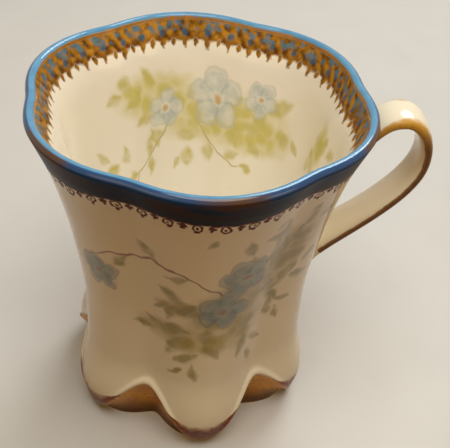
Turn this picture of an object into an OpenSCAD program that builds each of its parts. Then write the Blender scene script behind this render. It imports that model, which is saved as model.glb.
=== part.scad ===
// Footed chocolate cup: a six-lobed porcelain cup on petal feet, with a strap handle,
// an enamelled rim, printed gold borders and gilding on the feet and the handle.
// The axis of the cup is Z, the table is z = 0 and the handle stands on +X.

/* [Cup] */
// Height from the table to the top of the rim
cup_h = 76; // [68:1:90]
// Radius of the rim at the crest of a lobe
rim_r = 34; // [31:0.5:38]
// How far the valleys of the rim lie inside its crests
rim_lobe = 1.7; // [0.6:0.1:2.5]
// Height of the flared part under the rim
flare_h = 10; // [7:0.5:14]
// How far the rim flares out beyond the neck below it
flare_out = 3.1; // [1.5:0.1:4]
// Radius of the waist at the crest of a lobe
waist_r = 25.6; // [24:0.1:28]
// Height of the waist
waist_z = 32; // [28:0.5:38]
// How far the valleys of the waist lie inside its crests
waist_lobe = 2.8; // [1:0.1:3.4]
// Number of lobes, each ending in a foot
lobes = 6; // [5:1:8]
// Angle from the handle to the nearest crest
lobe_turn = -20.6; // [-30:0.1:30]

/* [Feet] */
// How far the crest of a foot stands out beyond the waist
foot_out = 2.4; // [1.5:0.1:4.5]
// Height of the widest part of a foot
foot_z = 8; // [6:0.5:10]
// Height at which the feet start to swell
ankle_z = 21; // [19:0.5:25]
// Height of the lower edge of a toe
toe_z = 2.6; // [1.5:0.1:3.5]
// How far the toe edge is tucked in under the foot
toe_tuck = 0.9; // [0.5:0.1:2.5]
// How far the contact with the table lies inside the toe edge
sole_tuck = 2.6; // [1.5:0.1:4]
// Height of the arch between two feet
arch_h = 15.2; // [12:0.1:18]
// Share of the way from mid-arch to a crest that the arch takes up
arch_share = 0.87; // [0.6:0.01:0.95]
// How far the cove under the arch runs back to the table
cove_depth = 3.7; // [2:0.1:5]
// Height of the rolled moulding along the edge of the arch
bead_h = 0.9; // [0.3:0.05:1.2]

/* [Walls] */
// Thickness of the wall at the lip
lip_t = 2; // [1.2:0.1:3]
// Thickness of the wall at the valleys
wall_t = 2.6; // [2:0.1:3.5]
// Thickness of the floor
floor_t = 4; // [3:0.25:6]
// Radius of the corner between floor and wall
floor_round = 8; // [5:0.5:11]
// Depth of the recess under the floor
recess_h = 2.5; // [1:0.25:4]
// Width of the ground rim that stands on the table, at mid-arch
foot_rim_w = 3.2; // [2:0.1:5]

/* [Handle] */
// How far the strap stands off the wall at its outermost point
handle_stand = 15.1; // [11:0.1:18]
// Height of the strap's top above its upper joint
handle_rise = 5.6; // [3:0.1:8]
// Vertical distance between the two joints
handle_span = 28.5; // [24:0.5:34]
// Horizontal reach of the bend at the top of the strap
bend_w = 5.2; // [4:0.1:7]
// Vertical drop of the bend at the top of the strap
bend_h = 8.3; // [6:0.1:10]
// Width of the strap
strap_w = 9; // [7:0.1:11]
// Thickness of the strap
strap_t = 2.9; // [2.2:0.1:3.6]
// How much wider the strap is at its joints
strap_flare = 1.8; // [0.5:0.1:3]
// Distance from the wall to the end of the strap, filled with slip
slip_t = 3.3; // [3:0.1:4.5]
// Width of the slip fillet round the end of the strap
slip_fillet = 0.7; // [0.3:0.1:1.2]

/* [Decoration] */
// Height of the enamel band outside the rim
band_h = 5.2; // [3:0.1:7]
// Height of the enamel band inside the rim, below the rounding of the lip
band_in = 0.2; // [0.1:0.1:2]
// Height of the gold border inside the cup
inner_border_h = 7.6; // [3:0.1:9]
// Height of the gold border outside the cup
outer_border_h = 4.2; // [1.5:0.1:5]
// Bare strip left on each side of the handle by the outer border
border_gap = 1; // [0.5:0.1:3]
// Height of the gilding above the edge of the arches
gilt_h = 0.5; // [0.3:0.1:2]
// Height of the gilding above the edge of the toes
toe_gilt_h = 6.8; // [2:0.1:7]
// Thickness of the fired enamel and gold layers
layer_t = 0.12; // [0.08:0.01:0.2]

/* [Hidden] */

// Clearance between the slip and the wall that it follows
slip_gap = 0.12;
// Height that the slip adds above and below the strap
slip_spare = 0.4;
// Distance between the enamel band and the slip below it
band_gap = 0.25;
// Columns of points in each lobe
steps = 12;
columns = lobes * steps;
pitch = 360 / lobes;
angles = [for (j = [0 : columns - 1]) lobe_turn + j * 360 / columns];
// Roundness of the valleys, as a share of a crest's height
valley_soft = 0.22;
// How much of the lobes the inside of the wall follows at the waist and at the floor
inner_follow = 0.85;
floor_follow = 0.35;
// Where the curve of the wall passes between the waist and the neck
shoulder_up = 0.53;
shoulder_out = 0.36;
// How far the ankle stands out beyond the waist
ankle_out = 0.2;
// Fullness of the arch, from pointed at 1 to round at lower values
arch_round = 0.68;
// How far the wall flares out at the edge of the arch
arch_flare = 0.3;
// Rolled moulding: height of its ridge above the edge of the arch, its half width, and where it ends
bead_at = 0.8;
bead_half = 0.9;
bead_top = 7.6;
// Height above the mouldings at which the rings of the wall run level
level_up = 3;
// Draft of the recess under the floor
recess_draft = 1.2;
// Depth of spare material below the table, which is ground away
ground = 1;

lip_z = cup_h - lip_t / 2;
neck_z = cup_h - flare_h;
neck_r = rim_r - flare_out;
foot_r = waist_r + foot_out;
toe_edge_r = foot_r - toe_tuck;
sole_r = toe_edge_r - sole_tuck;
arch_r = waist_r - waist_lobe + arch_flare;
cove_r = arch_r - cove_depth;
rim_in_r = cove_r - foot_rim_w;
floor_z = recess_h + floor_t;
corner_z = floor_z + floor_round;
corner_r = cove_r - wall_t;

// A smooth curve through stations [height, value], with no swings between them
function rate(p, i) = (p[i + 1][1] - p[i][1]) / (p[i + 1][0] - p[i][0]);
function mean_rate(a, b) = a * b <= 0 ? 0 : 2 * a * b / (a + b);
function slope(p, i) =
  i == 0 ? rate(p, 0) :
  i == len(p) - 1 ? rate(p, i - 1) :
  mean_rate(rate(p, i - 1), rate(p, i));
function blend(y0, m0, y1, m1, w, t) =
  (2 * t^3 - 3 * t^2 + 1) * y0 + (t^3 - 2 * t^2 + t) * w * m0
  + (3 * t^2 - 2 * t^3) * y1 + (t^3 - t^2) * w * m1;
function curve(p, z) =
  let (
    i = max([for (k = [0 : len(p) - 2]) z >= p[k][0] ? k : 0]),
    w = p[i + 1][0] - p[i][0],
    t = max(0, min(1, (z - p[i][0]) / w))
  )
  blend(p[i][1], slope(p, i), p[i + 1][1], slope(p, i + 1), w, t);

// Outer wall: crests, and how deep the valleys lie inside them
crest_line = [
  [toe_z, toe_edge_r],
  [foot_z, foot_r],
  [ankle_z, waist_r + ankle_out],
  [waist_z, waist_r],
  [waist_z + (neck_z - waist_z) * shoulder_up, waist_r + (neck_r - waist_r) * shoulder_out],
  [neck_z, neck_r],
  [lip_z, rim_r]
];
depth_line = [
  [0, foot_r - arch_r],
  [arch_h, curve(crest_line, arch_h) - arch_r],
  [waist_z, waist_lobe],
  [lip_z, rim_lobe]
];
function lobe(a) =
  let (c = cos(lobes / 2 * (a - lobe_turn)))
  (sqrt(c^2 + valley_soft^2) - valley_soft) / (sqrt(1 + valley_soft^2) - valley_soft);
function wall(a, z) = curve(crest_line, z) - curve(depth_line, z) * (1 - lobe(a));

// Lower edge of the wall, which arches up between the feet
function from_mid_arch(a) =
  let (v = (a - lobe_turn) - pitch * floor((a - lobe_turn) / pitch))
  abs(v - pitch / 2) / (pitch / 2);
function arch(a) = ((1 + cos(180 * min(1, from_mid_arch(a) / arch_share))) / 2)^arch_round;
function hem(a) = toe_z + (arch_h - toe_z) * arch(a);
// Height of the gold above that edge
function gilt(a) = gilt_h + (toe_gilt_h - gilt_h) * (1 - arch(a))^2;
function bead(a, up) = bead_h * arch(a) * exp(-((up - bead_at) / bead_half)^2);
function sole(a) = cove_r + (sole_r - cove_r) * lobe(a);

// Inside of the wall
cavity_line = [
  [corner_z, corner_r],
  [waist_z, wall(pitch / 2 + lobe_turn, waist_z) - wall_t],
  [neck_z, wall(pitch / 2 + lobe_turn, neck_z) - wall_t],
  [lip_z, rim_r - rim_lobe - lip_t]
];
cavity_depth = [
  [corner_z, waist_lobe * floor_follow],
  [waist_z, waist_lobe * inner_follow],
  [lip_z, rim_lobe]
];
function cavity(a, z) = curve(cavity_line, z) + curve(cavity_depth, z) * lobe(a);

// Height step for the slope of a surface
probe = 0.05;
// Points [radius, height, outward radius, outward height] down one column of each surface
function unit(v) = v / norm(v);
function on_wall(a, z) =
  let (rise = (wall(a, z + probe) - wall(a, z - probe)) / (2 * probe), n = unit([1, -rise]))
  [wall(a, z), z, n[0], n[1]];
function on_hem(a, up) =
  let (z = hem(a) + up, p = on_wall(a, z))
  [p[0] + bead(a, up), z, p[2], p[3]];
function above_hem(a, share) =
  let (low = hem(a) + bead_top)
  on_wall(a, low + (ring_z - low) * share);
function on_cove(a, down) =
  let (
    edge = wall(a, hem(a)) + bead(a, 0),
    n = unit([hem(a), -2 * (1 - down) * (edge - sole(a))])
  )
  [sole(a) + (edge - sole(a)) * (1 - down)^2, hem(a) * (1 - down), n[0], n[1]];
function on_lip(a, turn) =
  let (r = lip_t / 2)
  [wall(a, lip_z) - r * (1 - cos(turn)), lip_z + r * sin(turn), cos(turn), sin(turn)];
function in_cavity(a, z) =
  let (rise = (cavity(a, z + probe) - cavity(a, z - probe)) / (2 * probe), n = unit([-1, rise]))
  [cavity(a, z), z, n[0], n[1]];
function on_floor(a, turn) =
  let (r = floor_round)
  [cavity(a, corner_z) - r * (1 - cos(turn)), corner_z - r * sin(turn), -cos(turn), sin(turn)];

// Rows of points on each stretch of the surface
gilt_rows = 3;
moulding_rows = 5;
above_rows = 4;
wall_rows = 9;
border_rows = 2;
band_rows = 3;
lip_rows = 6;
inner_border_rows = 3;
cavity_rows = 9;
floor_rows = 4;
function between(a, b, n) = [for (i = [1 : n]) a + (b - a) * i / n];

// Heights of the rings of points, with one on each edge of a decorated band
band_z = cup_h - band_h;
border_z = band_z - outer_border_h;
inner_band_z = lip_z - band_in;
inner_border_z = inner_band_z - inner_border_h;
ring_z = arch_h + bead_top + level_up;
function gilt_steps(a) = concat([0], between(0, gilt(a), gilt_rows));
function hem_steps(a) = concat(gilt_steps(a), between(gilt(a), bead_top, moulding_rows));
above_steps = between(0, 1, above_rows);
wall_steps = between(ring_z, border_z, wall_rows);
border_steps = between(border_z, band_z, border_rows);
band_steps = between(band_z, lip_z, band_rows);
lip_steps = between(0, 180, lip_rows);
inner_border_steps = between(inner_band_z, inner_border_z, inner_border_rows);
cavity_steps = between(inner_border_z, corner_z, cavity_rows);
floor_steps = between(0, 90, floor_rows);
// Shares of the way down the cove; the gold stops at the second, just above the table
cove_steps = [1, 0.96, 0.75, 0.5, 0.25];

function cove_path(a) = [for (s = cove_steps) on_cove(a, s)];
function hem_path(a) = [for (s = hem_steps(a)) on_hem(a, s)];
function rise_path(a) = concat(
  [for (s = above_steps) above_hem(a, s)],
  [for (z = concat(wall_steps, border_steps)) on_wall(a, z)]);
function rim_path(a) = concat(
  [for (z = band_steps) on_wall(a, z)],
  [for (t = lip_steps) on_lip(a, t)],
  [in_cavity(a, inner_band_z)]);
function cavity_path(a) = concat(
  [for (z = concat(inner_border_steps, cavity_steps)) in_cavity(a, z)],
  [for (t = floor_steps) on_floor(a, t)]);
function body_path(a) = concat(
  [[rim_in_r - recess_draft, recess_h], [rim_in_r, 0], [rim_in_r, -ground], [sole(a), -ground]],
  cove_path(a), hem_path(a), rise_path(a), rim_path(a), cavity_path(a));

function place(a, p) = [p[0] * cos(a), p[0] * sin(a), p[1]];
function raised(p, t) = [p[0] + p[2] * t, p[1] + p[3] * t];

// A solid from columns of points: closed at the axis, as a ring, or as an open arc
// Each cell is split on the same diagonal, seen from the axis, also where a path runs back
function side(j, k, n, i, m, back = false) =
  let (a = j * n + i, b = k * n + i, c = k * n + m, d = j * n + m)
  back ? [[a, b, d], [b, c, d]] : [[a, b, c], [a, c, d]];
function turned(paths) = [for (i = [0 : len(paths) - 1]) for (p = paths[i]) place(angles[i], p)];

module axis_solid(paths, low, high) {
  n = len(paths[0]);
  c = len(paths);
  skin = [for (j = [0 : c - 1]) for (i = [0 : n - 2]) each side(j, (j + 1) % c, n, i, i + 1)];
  bottom = [for (j = [0 : c - 1]) [c * n, ((j + 1) % c) * n, j * n]];
  top = [for (j = [0 : c - 1]) [c * n + 1, j * n + n - 1, ((j + 1) % c) * n + n - 1]];
  points = concat(turned(paths), [[0, 0, low], [0, 0, high]]);
  polyhedron(points, [for (f = concat(skin, bottom, top)) [f[2], f[1], f[0]]]);
}

module ring_solid(loops, turns, closed = true) {
  n = len(loops[0]);
  c = len(loops);
  points = [for (j = [0 : c - 1]) for (p = loops[j]) place(turns[j], p)];
  last = closed ? c - 1 : c - 2;
  half = n / 2;
  skin = [for (j = [0 : last]) for (i = [0 : n - 1])
    each side(j, (j + 1) % c, n, i, (i + 1) % n, i >= half)];
  caps = closed ? [] : [for (i = [0 : half - 2]) each [
    [i, i + 1, n - 2 - i], [i, n - 2 - i, n - 1 - i],
    [(c - 1) * n + i, (c - 1) * n + n - 2 - i, (c - 1) * n + i + 1],
    [(c - 1) * n + i, (c - 1) * n + n - 1 - i, (c - 1) * n + n - 2 - i]]];
  polyhedron(points, concat(skin, caps));
}

// A fired layer of even thickness on a path over the surface
function layer(path) = concat(
  [for (p = path) [p[0], p[1]]],
  [for (i = [len(path) - 1 : -1 : 0]) raised(path[i], layer_t)]);

// Strap of the handle: a path [x, z] from the upper joint over the top to the lower joint
leave_angle = 40;
arrive_angle = 45;
// Half the height of the strap's footprint on the wall, without and with the fillet
footprint = strap_t / 2 / cos(leave_angle) + slip_spare;
slip_reach = footprint + slip_fillet;
upper_z = band_z - band_gap - slip_reach;
lower_z = upper_z - handle_span;
top_z = upper_z + handle_rise;
outer_z = top_z - bend_h;
reach = wall(0, outer_z) + handle_stand;
quarter = 0.5523;
lean_up = [cos(leave_angle), sin(leave_angle)];
lean_down = [cos(arrive_angle), sin(arrive_angle)];
upper_foot = [wall(0, upper_z), upper_z];
lower_foot = [wall(0, lower_z), lower_z];
strap_start = upper_foot + slip_t * lean_up;
strap_end = lower_foot + slip_t * lean_down;
strap_top = [reach - bend_w, top_z];
strap_out = [reach, outer_z];
start_pull = 3;
top_pull = 3;
out_pull = 8.7;
end_pull = 7.3;
strap_curves = [
  [strap_start, strap_start + start_pull * lean_up, strap_top - [top_pull, 0], strap_top],
  [strap_top, strap_top + [quarter * bend_w, 0], strap_out + [0, quarter * bend_h], strap_out],
  [strap_out, strap_out - [0, out_pull], strap_end + end_pull * lean_down, strap_end]
];
strap_steps = [6, 10, 14];
function bezier(p, t) =
  (1 - t)^3 * p[0] + 3 * (1 - t)^2 * t * p[1] + 3 * (1 - t) * t^2 * p[2] + t^3 * p[3];
function heading(p, t) =
  unit((1 - t)^2 * (p[1] - p[0]) + 2 * (1 - t) * t * (p[2] - p[1]) + t^2 * (p[3] - p[2]));
// Stations [point, heading, share of the length] along the strap
stations = concat(
  [[strap_start, lean_up, 0]],
  [for (s = [0 : 2]) for (i = [1 : strap_steps[s]])
    let (t = i / strap_steps[s])
    [bezier(strap_curves[s], t), heading(strap_curves[s], t), (s + t) / 3]]);

// Section of the strap: a flat oval, wider towards the joints
section_steps = 16;
oval = 0.8;
// Points of the section that are gilded on each side of its edge
gilt_points = 2;
// Share of each curve of the strap over which its ends widen
flare_share = 0.22;
function even_power(v, e) = sign(v) * abs(v)^e;
function flare(share) =
  let (end = min(share, 1 - share) / flare_share)
  end >= 1 ? 0 : (1 - end)^2;
function half_w(share) = (strap_w + strap_flare * flare(share)) / 2;
function strap_pt(station, turn, extra = 0) =
  let (
    c = cos(turn),
    s = sin(turn),
    across = half_w(station[2]) * even_power(c, oval) + extra * c,
    out = strap_t / 2 * even_power(s, oval) + extra * s
  )
  [station[0][0] - out * station[1][1], across, station[0][1] + out * station[1][0]];
function strap_ring(station) =
  [for (i = [0 : section_steps - 1]) strap_pt(station, i * 360 / section_steps)];

// A solid through rings of points, closed by a point in the middle of each end ring.
// The rings' points from number back onwards run against the others.
module loft(rings, middles, back) {
  n = len(rings[0]);
  c = len(rings);
  points = concat([for (r = rings) each r], middles);
  skin = [for (j = [0 : c - 2]) for (i = [0 : n - 1])
    each side(j, j + 1, n, i, (i + 1) % n, i >= back)];
  ends = [for (i = [0 : n - 1]) each [
    [c * n, i, (i + 1) % n],
    [c * n + 1, (c - 1) * n + (i + 1) % n, (c - 1) * n + i]]];
  polyhedron(points, concat(skin, ends));
}

// Slip joint: follows the wall on one side and meets the end of the strap on the other
slip_steps = 4;
wall_rings = [0.2, 0.4, 0.6, 0.8, 1];
function on_slip_wall(z, across, up) =
  let (
    r = wall(0, z + up),
    a = asin(across / r)
  )
  place(a, [wall(a, z + up) + slip_gap, z + up]);
function slip_outline(z, share, fillet, k, way) = [for (i = [0 : section_steps - 1])
  let (turn = i * 360 / section_steps)
  on_slip_wall(z,
    k * (half_w(share) + fillet) * even_power(cos(turn), oval),
    k * way * (footprint + fillet) * even_power(sin(turn), oval))];

// way is 1 where the strap starts and -1 where it ends, because it runs back to the wall there
module slip_joint(z, station, way) {
  strap = strap_ring(station);
  foot = slip_outline(z, station[2], slip_fillet, 1, way);
  back = slip_outline(z, station[2], 0, 1, way);
  rings = concat(
    [for (k = wall_rings) slip_outline(z, station[2], slip_fillet, k, way)],
    [for (s = [1 : slip_steps]) let (t = s / slip_steps)
      [for (i = [0 : section_steps - 1])
        (1 - t)^2 * foot[i] + 2 * (1 - t) * t * back[i] + t^2 * strap[i]]]);
  ends = [on_slip_wall(z, 0, 0), [station[0][0], 0, station[0][1]]];
  if (way > 0)
    loft(rings, ends, section_steps);
  else
    loft([for (i = [len(rings) - 1 : -1 : 0]) rings[i]], [ends[1], ends[0]], section_steps);
}

module cup_body() {
  color("#f4ead2")
  difference() {
    axis_solid([for (a = angles) body_path(a)], recess_h, floor_z);
    translate([-rim_r, -rim_r, -2 * ground])
    cube([2 * rim_r, 2 * rim_r, 2 * ground]);
  }
}

module handle() {
  first = stations[0][0];
  last = stations[len(stations) - 1][0];
  middles = [[first[0], 0, first[1]], [last[0], 0, last[1]]];
  color("#f8f0da")
  loft([for (s = stations) strap_ring(s)], middles, section_steps);
}

module upper_handle_joint() {
  color("#efe4c8")
  slip_joint(upper_z, stations[0], 1);
}

module lower_handle_joint() {
  color("#efe4c8")
  slip_joint(lower_z, stations[len(stations) - 1], -1);
}

module rim_enamel_band() {
  color("#4d8db4")
  ring_solid([for (a = angles) layer(concat([on_wall(a, band_z)], rim_path(a)))], angles);
}

module inner_gold_border() {
  color("#9a6a26")
  ring_solid([for (a = angles)
    layer([for (z = concat([inner_band_z], inner_border_steps)) in_cavity(a, z)])], angles);
}

module outer_gold_border() {
  bare = asin((half_w(0) + slip_fillet + border_gap) / wall(0, border_z));
  turns = [for (a = angles) if (abs((a + 180) - 360 * floor((a + 180) / 360) - 180) > bare) a];
  first = [for (i = [0 : len(turns) - 1]) if (turns[i] > 0) i][0];
  order = [for (i = [0 : len(turns) - 1]) turns[(first + i) % len(turns)]];
  color("#6b4420")
  ring_solid([for (a = order)
    layer([for (z = concat([border_z], border_steps)) on_wall(a, z)])], order, closed = false);
}

module foot_gilding() {
  color("#a06f1c")
  ring_solid([for (a = angles) layer(concat(
    [for (s = cove_steps) if (s < 1) on_cove(a, s)],
    [for (s = gilt_steps(a)) on_hem(a, s)]))], angles);
}

module handle_gilding() {
  step = 360 / section_steps;
  half = gilt_points;
  color("#a97a2c")
  for (edge = [0, 180]) {
    rings = [for (s = stations) concat(
      [for (i = [-half : half]) strap_pt(s, edge + i * step, layer_t)],
      [for (i = [half : -1 : -half]) strap_pt(s, edge + i * step)])];
    n = len(rings[0]);
    ends = [for (r = [rings[0], rings[len(rings) - 1]]) (r[half] + r[n - 1 - half]) / 2];
    loft(rings, ends, n / 2);
  }
}

cup_body();
handle();
upper_handle_joint();
lower_handle_joint();
rim_enamel_band();
inner_gold_border();
outer_gold_border();
foot_gilding();
handle_gilding();
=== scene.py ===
import math
from bisect import bisect

import bmesh
import bpy
from mathutils import Matrix, Vector


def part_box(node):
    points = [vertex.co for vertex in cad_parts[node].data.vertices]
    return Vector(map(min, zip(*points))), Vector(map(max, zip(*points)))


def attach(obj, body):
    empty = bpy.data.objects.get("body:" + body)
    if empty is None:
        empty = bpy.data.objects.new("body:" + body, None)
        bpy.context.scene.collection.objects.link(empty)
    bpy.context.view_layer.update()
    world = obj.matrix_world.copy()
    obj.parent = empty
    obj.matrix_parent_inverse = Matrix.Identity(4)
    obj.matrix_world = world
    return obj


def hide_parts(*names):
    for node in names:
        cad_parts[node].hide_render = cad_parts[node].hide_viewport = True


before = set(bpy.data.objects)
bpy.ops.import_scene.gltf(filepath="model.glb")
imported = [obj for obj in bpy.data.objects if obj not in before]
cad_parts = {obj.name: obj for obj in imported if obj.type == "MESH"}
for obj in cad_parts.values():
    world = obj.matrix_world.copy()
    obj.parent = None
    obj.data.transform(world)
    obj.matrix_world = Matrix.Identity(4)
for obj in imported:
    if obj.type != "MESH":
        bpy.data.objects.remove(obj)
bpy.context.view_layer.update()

# Sizes in millimetres, turns in radians, and shares, with Z up the axis of the cup and the handle on +X
MM = 0.001
TURN = math.tau
cup_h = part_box("cup_body")[1].z / MM
rim_r = 34
rim_lobe = 1.7
flare_h = 10
flare_out = 3.1
waist_r = 25.6
waist_z = 32
waist_lobe = 2.8
lobes = 6
lobe_turn = math.radians(-20.6)
foot_out = 2.4
foot_z = 8
ankle_z = 21
toe_z = 2.6
toe_tuck = 0.9
sole_tuck = 2.6
arch_h = 15.2
arch_share = 0.87
cove_depth = 3.7
bead_h = 0.9
lip_t = 2
wall_t = 2.6
floor_t = 4
floor_round = 8
recess_h = 2.5
foot_rim_w = 3.2
handle_stand = 15.1
handle_rise = 5.6
handle_span = 28.5
bend_w = 5.2
bend_h = 8.3
strap_w = 9
strap_t = 2.9
strap_flare = 1.8
slip_t = 3.3
slip_fillet = 0.7
band_h = 5.2
band_in = 0.2
inner_border_h = 7.6
outer_border_h = 4.2
border_gap = 1
gilt_h = 0.5
toe_gilt_h = 6.8
slip_spare = 0.4
band_gap = 0.25
valley_soft = 0.22
inner_follow = 0.85
floor_follow = 0.35
shoulder_up = 0.53
shoulder_out = 0.36
ankle_out = 0.2
arch_round = 0.68
arch_flare = 0.3
bead_at = 0.8
bead_half = 0.9
bead_top = 7.6
level_up = 3
recess_draft = 1.2
recess_round = 2

# Rounding of the glazed edges, and the fired layers: their thickness, how deep they are sunk into the
# porcelain, and the widths over which they, and the outer lace, thin to nothing at a free end
edge_round = 0.3
layer_t = 0.03
sunk = 0.02
feather = 2
lace_feather = 0.5

# Meshes: columns in a lobe, rows along each stretch, the shares of a cove's depth where its rows start, the
# strip along the sole's edge, the angle of a sharp edge, and the metres within which vertices merge
columns_per_lobe = 40
recess_rows = 5
cove_rows = 12
edge_rows = 4
hem_rows = 8
moulding_rows = 16
ankle_rows = 12
wall_rows = 44
brim_rows = 10
border_rows = 10
rim_rows = 8
rim_inside_rows = 2
lip_rows = 12
inner_border_rows = 14
cavity_rows = 60
floor_rows = 8
slip_rows = 14
near_table = 0.97
above_table = 0.94
sole_strip = 0.05
crease = math.radians(50)
weld = 1e-7

# Derived heights and radii
lip_z = cup_h - lip_t / 2
neck_z = cup_h - flare_h
neck_r = rim_r - flare_out
foot_r = waist_r + foot_out
toe_edge_r = foot_r - toe_tuck
sole_r = toe_edge_r - sole_tuck
arch_r = waist_r - waist_lobe + arch_flare
cove_r = arch_r - cove_depth
rim_in_r = cove_r - foot_rim_w
floor_z = recess_h + floor_t
corner_z = floor_z + floor_round
corner_r = cove_r - wall_t
band_z = cup_h - band_h
border_z = band_z - outer_border_h
inner_band_z = lip_z - band_in
inner_border_z = inner_band_z - inner_border_h
ring_z = arch_h + bead_top + level_up
pitch = TURN / lobes

# Columns of points round the cup, from a valley opposite the handle
columns = lobes * columns_per_lobe
first_angle = lobe_turn - (lobes - 1) / 2 * pitch
angles = [first_angle + TURN * column / columns for column in range(columns)]


def smooth_line(stations):
    """A curve through (height, radius) stations that doesn't swing between them."""
    rates = [(b[1] - a[1]) / (b[0] - a[0]) for a, b in zip(stations, stations[1:])]
    inner = [0 if p * q <= 0 else 2 * p * q / (p + q) for p, q in zip(rates, rates[1:])]
    slopes = [rates[0], *inner, rates[-1]]
    starts = [z for z, _ in stations[1:-1]]

    def radius(z):
        i = bisect(starts, z)
        (z0, r0), (z1, r1) = stations[i], stations[i + 1]
        w = z1 - z0
        t = min(1, max(0, (z - z0) / w))
        return ((2 * t**3 - 3 * t**2 + 1) * r0 + (t**3 - 2 * t**2 + t) * w * slopes[i]
                + (3 * t**2 - 2 * t**3) * r1 + (t**3 - t**2) * w * slopes[i + 1])

    return radius


def steps(start, end, count):
    """Even steps from start to end, without start itself."""
    return [start + (end - start) * i / count for i in range(1, count + 1)]


# Outer wall: crests of the lobes, and how deep the valleys lie inside them
crest = smooth_line([
    (toe_z, toe_edge_r), (foot_z, foot_r), (ankle_z, waist_r + ankle_out), (waist_z, waist_r),
    (waist_z + (neck_z - waist_z) * shoulder_up, waist_r + (neck_r - waist_r) * shoulder_out),
    (neck_z, neck_r), (lip_z, rim_r)])
depth = smooth_line([
    (0, foot_r - arch_r), (arch_h, crest(arch_h) - arch_r), (waist_z, waist_lobe), (lip_z, rim_lobe)])


def lobe(a):
    """1 on the crest of a lobe, 0 in a valley."""
    c = math.cos(lobes / 2 * (a - lobe_turn))
    return (math.hypot(c, valley_soft) - valley_soft) / (math.hypot(1, valley_soft) - valley_soft)


def wall(a, z):
    return crest(z) - depth(z) * (1 - lobe(a))


# Inside of the wall
valley_angle = lobe_turn + pitch / 2
cavity_line = smooth_line([
    (corner_z, corner_r), (waist_z, wall(valley_angle, waist_z) - wall_t),
    (neck_z, wall(valley_angle, neck_z) - wall_t), (lip_z, rim_r - rim_lobe - lip_t)])
cavity_depth = smooth_line([
    (corner_z, waist_lobe * floor_follow), (waist_z, waist_lobe * inner_follow), (lip_z, rim_lobe)])


def cavity(a, z):
    return cavity_line(z) + cavity_depth(z) * lobe(a)


def arch(a):
    """1 at the middle of an arch between two feet, 0 along the toes."""
    from_middle = abs((a - lobe_turn) % pitch - pitch / 2) / (pitch / 2)
    return ((1 + math.cos(math.pi * min(1, from_middle / arch_share))) / 2) ** arch_round


def hem(a):
    return toe_z + (arch_h - toe_z) * arch(a)


def gilt(a):
    """Height of the gold above the edge: a line over the arches, a deeper dip on the toes."""
    return gilt_h + (toe_gilt_h - gilt_h) * (1 - arch(a)) ** 2


def on_hem(a, up):
    """Wall with the rolled moulding that follows the arch, at a height above the edge."""
    bead = bead_h * arch(a) * math.exp(-((up - bead_at) / bead_half) ** 2)
    return wall(a, hem(a) + up) + bead, hem(a) + up


def on_cove(a, down):
    """Cove under the arch, from its edge at 0 to the table at 1."""
    edge = on_hem(a, 0)[0]
    sole = cove_r + (sole_r - cove_r) * lobe(a)
    return sole + (edge - sole) * (1 - down) ** 2, hem(a) * (1 - down)


def on_lip(a, turn):
    r = lip_t / 2
    return wall(a, lip_z) - r * (1 - math.cos(turn)), lip_z + r * math.sin(turn)


def on_floor(a, turn):
    r = floor_round
    return cavity(a, corner_z) - r * (1 - math.cos(turn)), corner_z - r * math.sin(turn)


def bezier(points, t):
    """A point on a curve of three or four control points."""
    while len(points) > 1:
        points = [p.lerp(q, t) for p, q in zip(points, points[1:])]
    return points[0]


# Paths of (radius, height) along each stretch of one column
def recess_path():
    inner = rim_in_r - recess_draft
    corner = [Vector((inner - recess_round, recess_h)), Vector((inner, recess_h)), Vector((rim_in_r, 0))]
    return [(0, recess_h), *[tuple(bezier(corner, t)) for t in [0, *steps(0, 1, recess_rows)]]]


def hem_path(a, low, high, count):
    return [on_hem(a, up) for up in steps(low, high, count)]


def foot_path(a):
    """Up the cove from the table, round its edge, and on to the top of the gold."""
    edge = edge_round / hem(a)
    cove = [on_cove(a, down) for down in [1, near_table, *steps(above_table, edge, cove_rows)]]
    corner = [Vector(on_cove(a, edge)), Vector(on_hem(a, 0)), Vector(on_hem(a, edge_round))]
    rounding = [tuple(bezier(corner, t)) for t in steps(0, 1, edge_rows)]
    return cove + rounding + hem_path(a, edge_round, gilt(a), hem_rows)


def wall_path(a, low, high, count):
    return [(wall(a, z), z) for z in steps(low, high, count)]


def lip_path(a):
    return [on_lip(a, turn) for turn in steps(0, math.pi, lip_rows)]


def cavity_path(a, high, low, count):
    return [(cavity(a, z), z) for z in steps(high, low, count)]


def floor_path(a):
    return [on_floor(a, turn) for turn in steps(0, math.pi / 2, floor_rows)]


def raised(path, height):
    """Path lifted off the surface, by a height for each of its points."""
    lifted = []
    for i, (r, z) in enumerate(path):
        before, after = Vector(path[max(i - 1, 0)]), Vector(path[min(i + 1, len(path) - 1)])
        along = (after - before).normalized()
        lifted.append((r + along.y * height[i], z - along.x * height[i]))
    return lifted


def lengths(path):
    """Distance of each point from the start of the path."""
    run = [0]
    for p, q in zip(path, path[1:]):
        run.append(run[-1] + math.dist(p, q))
    return run


def layer(path, free_start=True, free_end=True, fade=feather):
    """Closed section of a fired layer, as (radius, height, run along the path): its top, which dives under
    the glaze at a free end, then its underside."""
    run = lengths(path)
    rise = [min(1, s / fade if free_start else 1, (run[-1] - s) / fade if free_end else 1) for s in run]
    top = raised(path, [(layer_t + sunk) * share - sunk for share in rise])
    under = raised(path, [-sunk] * len(path))
    return [(*p, s) for p, s in zip(top, run)] + [(*p, s) for p, s in zip(under[::-1], run[::-1])]


def turned(a, r, z):
    return Vector((r * math.cos(a), r * math.sin(a), z))


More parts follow.
